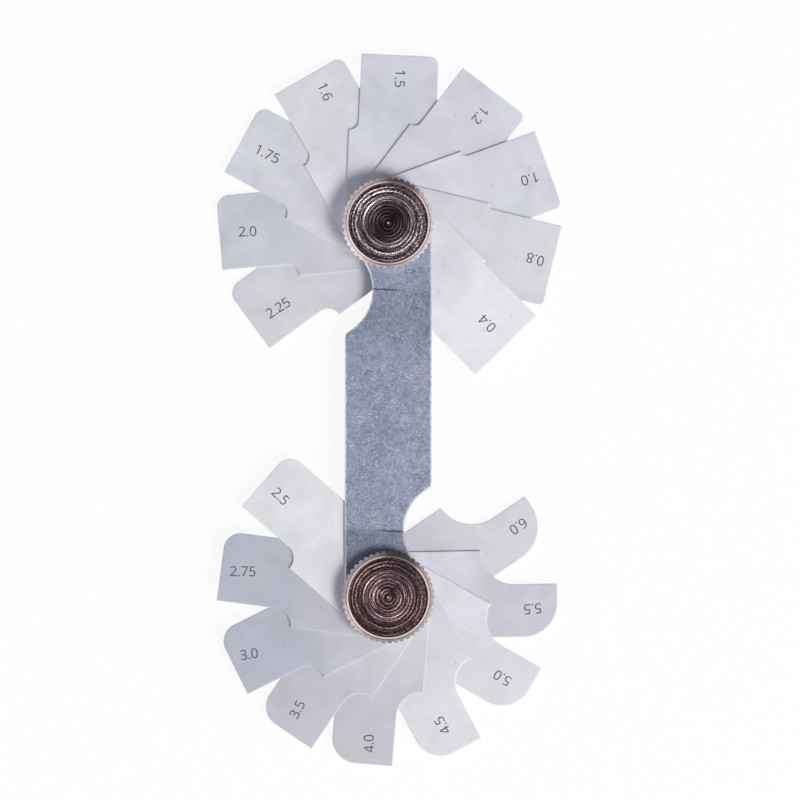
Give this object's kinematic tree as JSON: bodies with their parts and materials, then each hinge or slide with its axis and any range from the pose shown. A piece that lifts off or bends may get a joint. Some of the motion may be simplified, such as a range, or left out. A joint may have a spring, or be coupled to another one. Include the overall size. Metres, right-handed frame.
{
  "type": "radius gauge",
  "caption": "Pocket radius gauge: steel leaves with hollow and rounded corners fan out from two pivots at the ends of a two-plate holder, locked by knurled screws.",
  "frame": {"origin": "middle of the back plate's outer face, halfway between the two pivots", "axes": "+Y along the holder towards the fan of the smaller radii, +Z from the back plate to the knobs, +X to the right when the knobs face the viewer"},
  "size_m": [0.0556, 0.115, 0.0121],
  "materials": {
    "plate_steel": "satin, blue-grey",
    "leaf_steel": "satin, pale",
    "bush_steel": "turned",
    "knob_steel": "turned and blackened"
  },
  "bodies": {
    "holder": {"front_plate": "plate_steel", "back_plate": "plate_steel", "upper_bush": "bush_steel", "lower_bush": "bush_steel"},
    "upper_knob": {"upper_knob": "knob_steel"},
    "lower_knob": {"lower_knob": "knob_steel"},
    "leaf_r0_4": {"leaf_r0_4": "leaf_steel"},
    "leaf_r0_8": {"leaf_r0_8": "leaf_steel"},
    "leaf_r1_0": {"leaf_r1_0": "leaf_steel"},
    "leaf_r1_2": {"leaf_r1_2": "leaf_steel"},
    "leaf_r1_5": {"leaf_r1_5": "leaf_steel"},
    "leaf_r1_6": {"leaf_r1_6": "leaf_steel"},
    "leaf_r1_75": {"leaf_r1_75": "leaf_steel"},
    "leaf_r2_0": {"leaf_r2_0": "leaf_steel"},
    "leaf_r2_25": {"leaf_r2_25": "leaf_steel"},
    "leaf_r2_5": {"leaf_r2_5": "leaf_steel"},
    "leaf_r2_75": {"leaf_r2_75": "leaf_steel"},
    "leaf_r3_0": {"leaf_r3_0": "leaf_steel"},
    "leaf_r3_5": {"leaf_r3_5": "leaf_steel"},
    "leaf_r4_0": {"leaf_r4_0": "leaf_steel"},
    "leaf_r4_5": {"leaf_r4_5": "leaf_steel"},
    "leaf_r5_0": {"leaf_r5_0": "leaf_steel"},
    "leaf_r5_5": {"leaf_r5_5": "leaf_steel"},
    "leaf_r6_0": {"leaf_r6_0": "leaf_steel"}
  },
  "joints": [
    {"name": "upper_knob_turn", "type": "hinge", "parent": "holder", "child": "upper_knob", "pos_m": [0, 0.03, 0.0071], "axis": [0, 0, 1], "range_deg": [0, 360]},
    {"name": "lower_knob_turn", "type": "hinge", "parent": "holder", "child": "lower_knob", "pos_m": [0, -0.03, 0.0071], "axis": [0, 0, 1], "range_deg": [0, 360]},
    {"name": "leaf_r0_4_turn", "type": "hinge", "parent": "holder", "child": "leaf_r0_4", "pos_m": [0, 0.03, 0.0035], "axis": [0, 0, 1], "range_deg": [-44.5, 315.5]},
    {"name": "leaf_r0_8_turn", "type": "hinge", "parent": "holder", "child": "leaf_r0_8", "pos_m": [0, 0.03, 0.0035], "axis": [0, 0, 1], "range_deg": [-76.5, 283.5]},
    {"name": "leaf_r1_0_turn", "type": "hinge", "parent": "holder", "child": "leaf_r1_0", "pos_m": [0, 0.03, 0.0035], "axis": [0, 0, 1], "range_deg": [-110, 250]},
    {"name": "leaf_r1_2_turn", "type": "hinge", "parent": "holder", "child": "leaf_r1_2", "pos_m": [0, 0.03, 0.0035], "axis": [0, 0, 1], "range_deg": [-142.5, 217.5]},
    {"name": "leaf_r1_5_turn", "type": "hinge", "parent": "holder", "child": "leaf_r1_5", "pos_m": [0, 0.03, 0.0035], "axis": [0, 0, 1], "range_deg": [-177.5, 182.5]},
    {"name": "leaf_r1_6_turn", "type": "hinge", "parent": "holder", "child": "leaf_r1_6", "pos_m": [0, 0.03, 0.0035], "axis": [0, 0, 1], "range_deg": [-210, 150]},
    {"name": "leaf_r1_75_turn", "type": "hinge", "parent": "holder", "child": "leaf_r1_75", "pos_m": [0, 0.03, 0.0035], "axis": [0, 0, 1], "range_deg": [-241.5, 118.5]},
    {"name": "leaf_r2_0_turn", "type": "hinge", "parent": "holder", "child": "leaf_r2_0", "pos_m": [0, 0.03, 0.0035], "axis": [0, 0, 1], "range_deg": [-275, 85]},
    {"name": "leaf_r2_25_turn", "type": "hinge", "parent": "holder", "child": "leaf_r2_25", "pos_m": [0, 0.03, 0.0035], "axis": [0, 0, 1], "range_deg": [-306.5, 53.5]},
    {"name": "leaf_r2_5_turn", "type": "hinge", "parent": "holder", "child": "leaf_r2_5", "pos_m": [0, -0.03, 0.0035], "axis": [0, 0, 1], "range_deg": [-49, 311]},
    {"name": "leaf_r2_75_turn", "type": "hinge", "parent": "holder", "child": "leaf_r2_75", "pos_m": [0, -0.03, 0.0035], "axis": [0, 0, 1], "range_deg": [-82.5, 277.5]},
    {"name": "leaf_r3_0_turn", "type": "hinge", "parent": "holder", "child": "leaf_r3_0", "pos_m": [0, -0.03, 0.0035], "axis": [0, 0, 1], "range_deg": [-116.5, 243.5]},
    {"name": "leaf_r3_5_turn", "type": "hinge", "parent": "holder", "child": "leaf_r3_5", "pos_m": [0, -0.03, 0.0035], "axis": [0, 0, 1], "range_deg": [-146, 214]},
    {"name": "leaf_r4_0_turn", "type": "hinge", "parent": "holder", "child": "leaf_r4_0", "pos_m": [0, -0.03, 0.0035], "axis": [0, 0, 1], "range_deg": [-175, 185]},
    {"name": "leaf_r4_5_turn", "type": "hinge", "parent": "holder", "child": "leaf_r4_5", "pos_m": [0, -0.03, 0.0035], "axis": [0, 0, 1], "range_deg": [-208, 152]},
    {"name": "leaf_r5_0_turn", "type": "hinge", "parent": "holder", "child": "leaf_r5_0", "pos_m": [0, -0.03, 0.0035], "axis": [0, 0, 1], "range_deg": [-240.5, 119.5]},
    {"name": "leaf_r5_5_turn", "type": "hinge", "parent": "holder", "child": "leaf_r5_5", "pos_m": [0, -0.03, 0.0035], "axis": [0, 0, 1], "range_deg": [-271, 89]},
    {"name": "leaf_r6_0_turn", "type": "hinge", "parent": "holder", "child": "leaf_r6_0", "pos_m": [0, -0.03, 0.0035], "axis": [0, 0, 1], "range_deg": [-304, 56]}
  ]
}
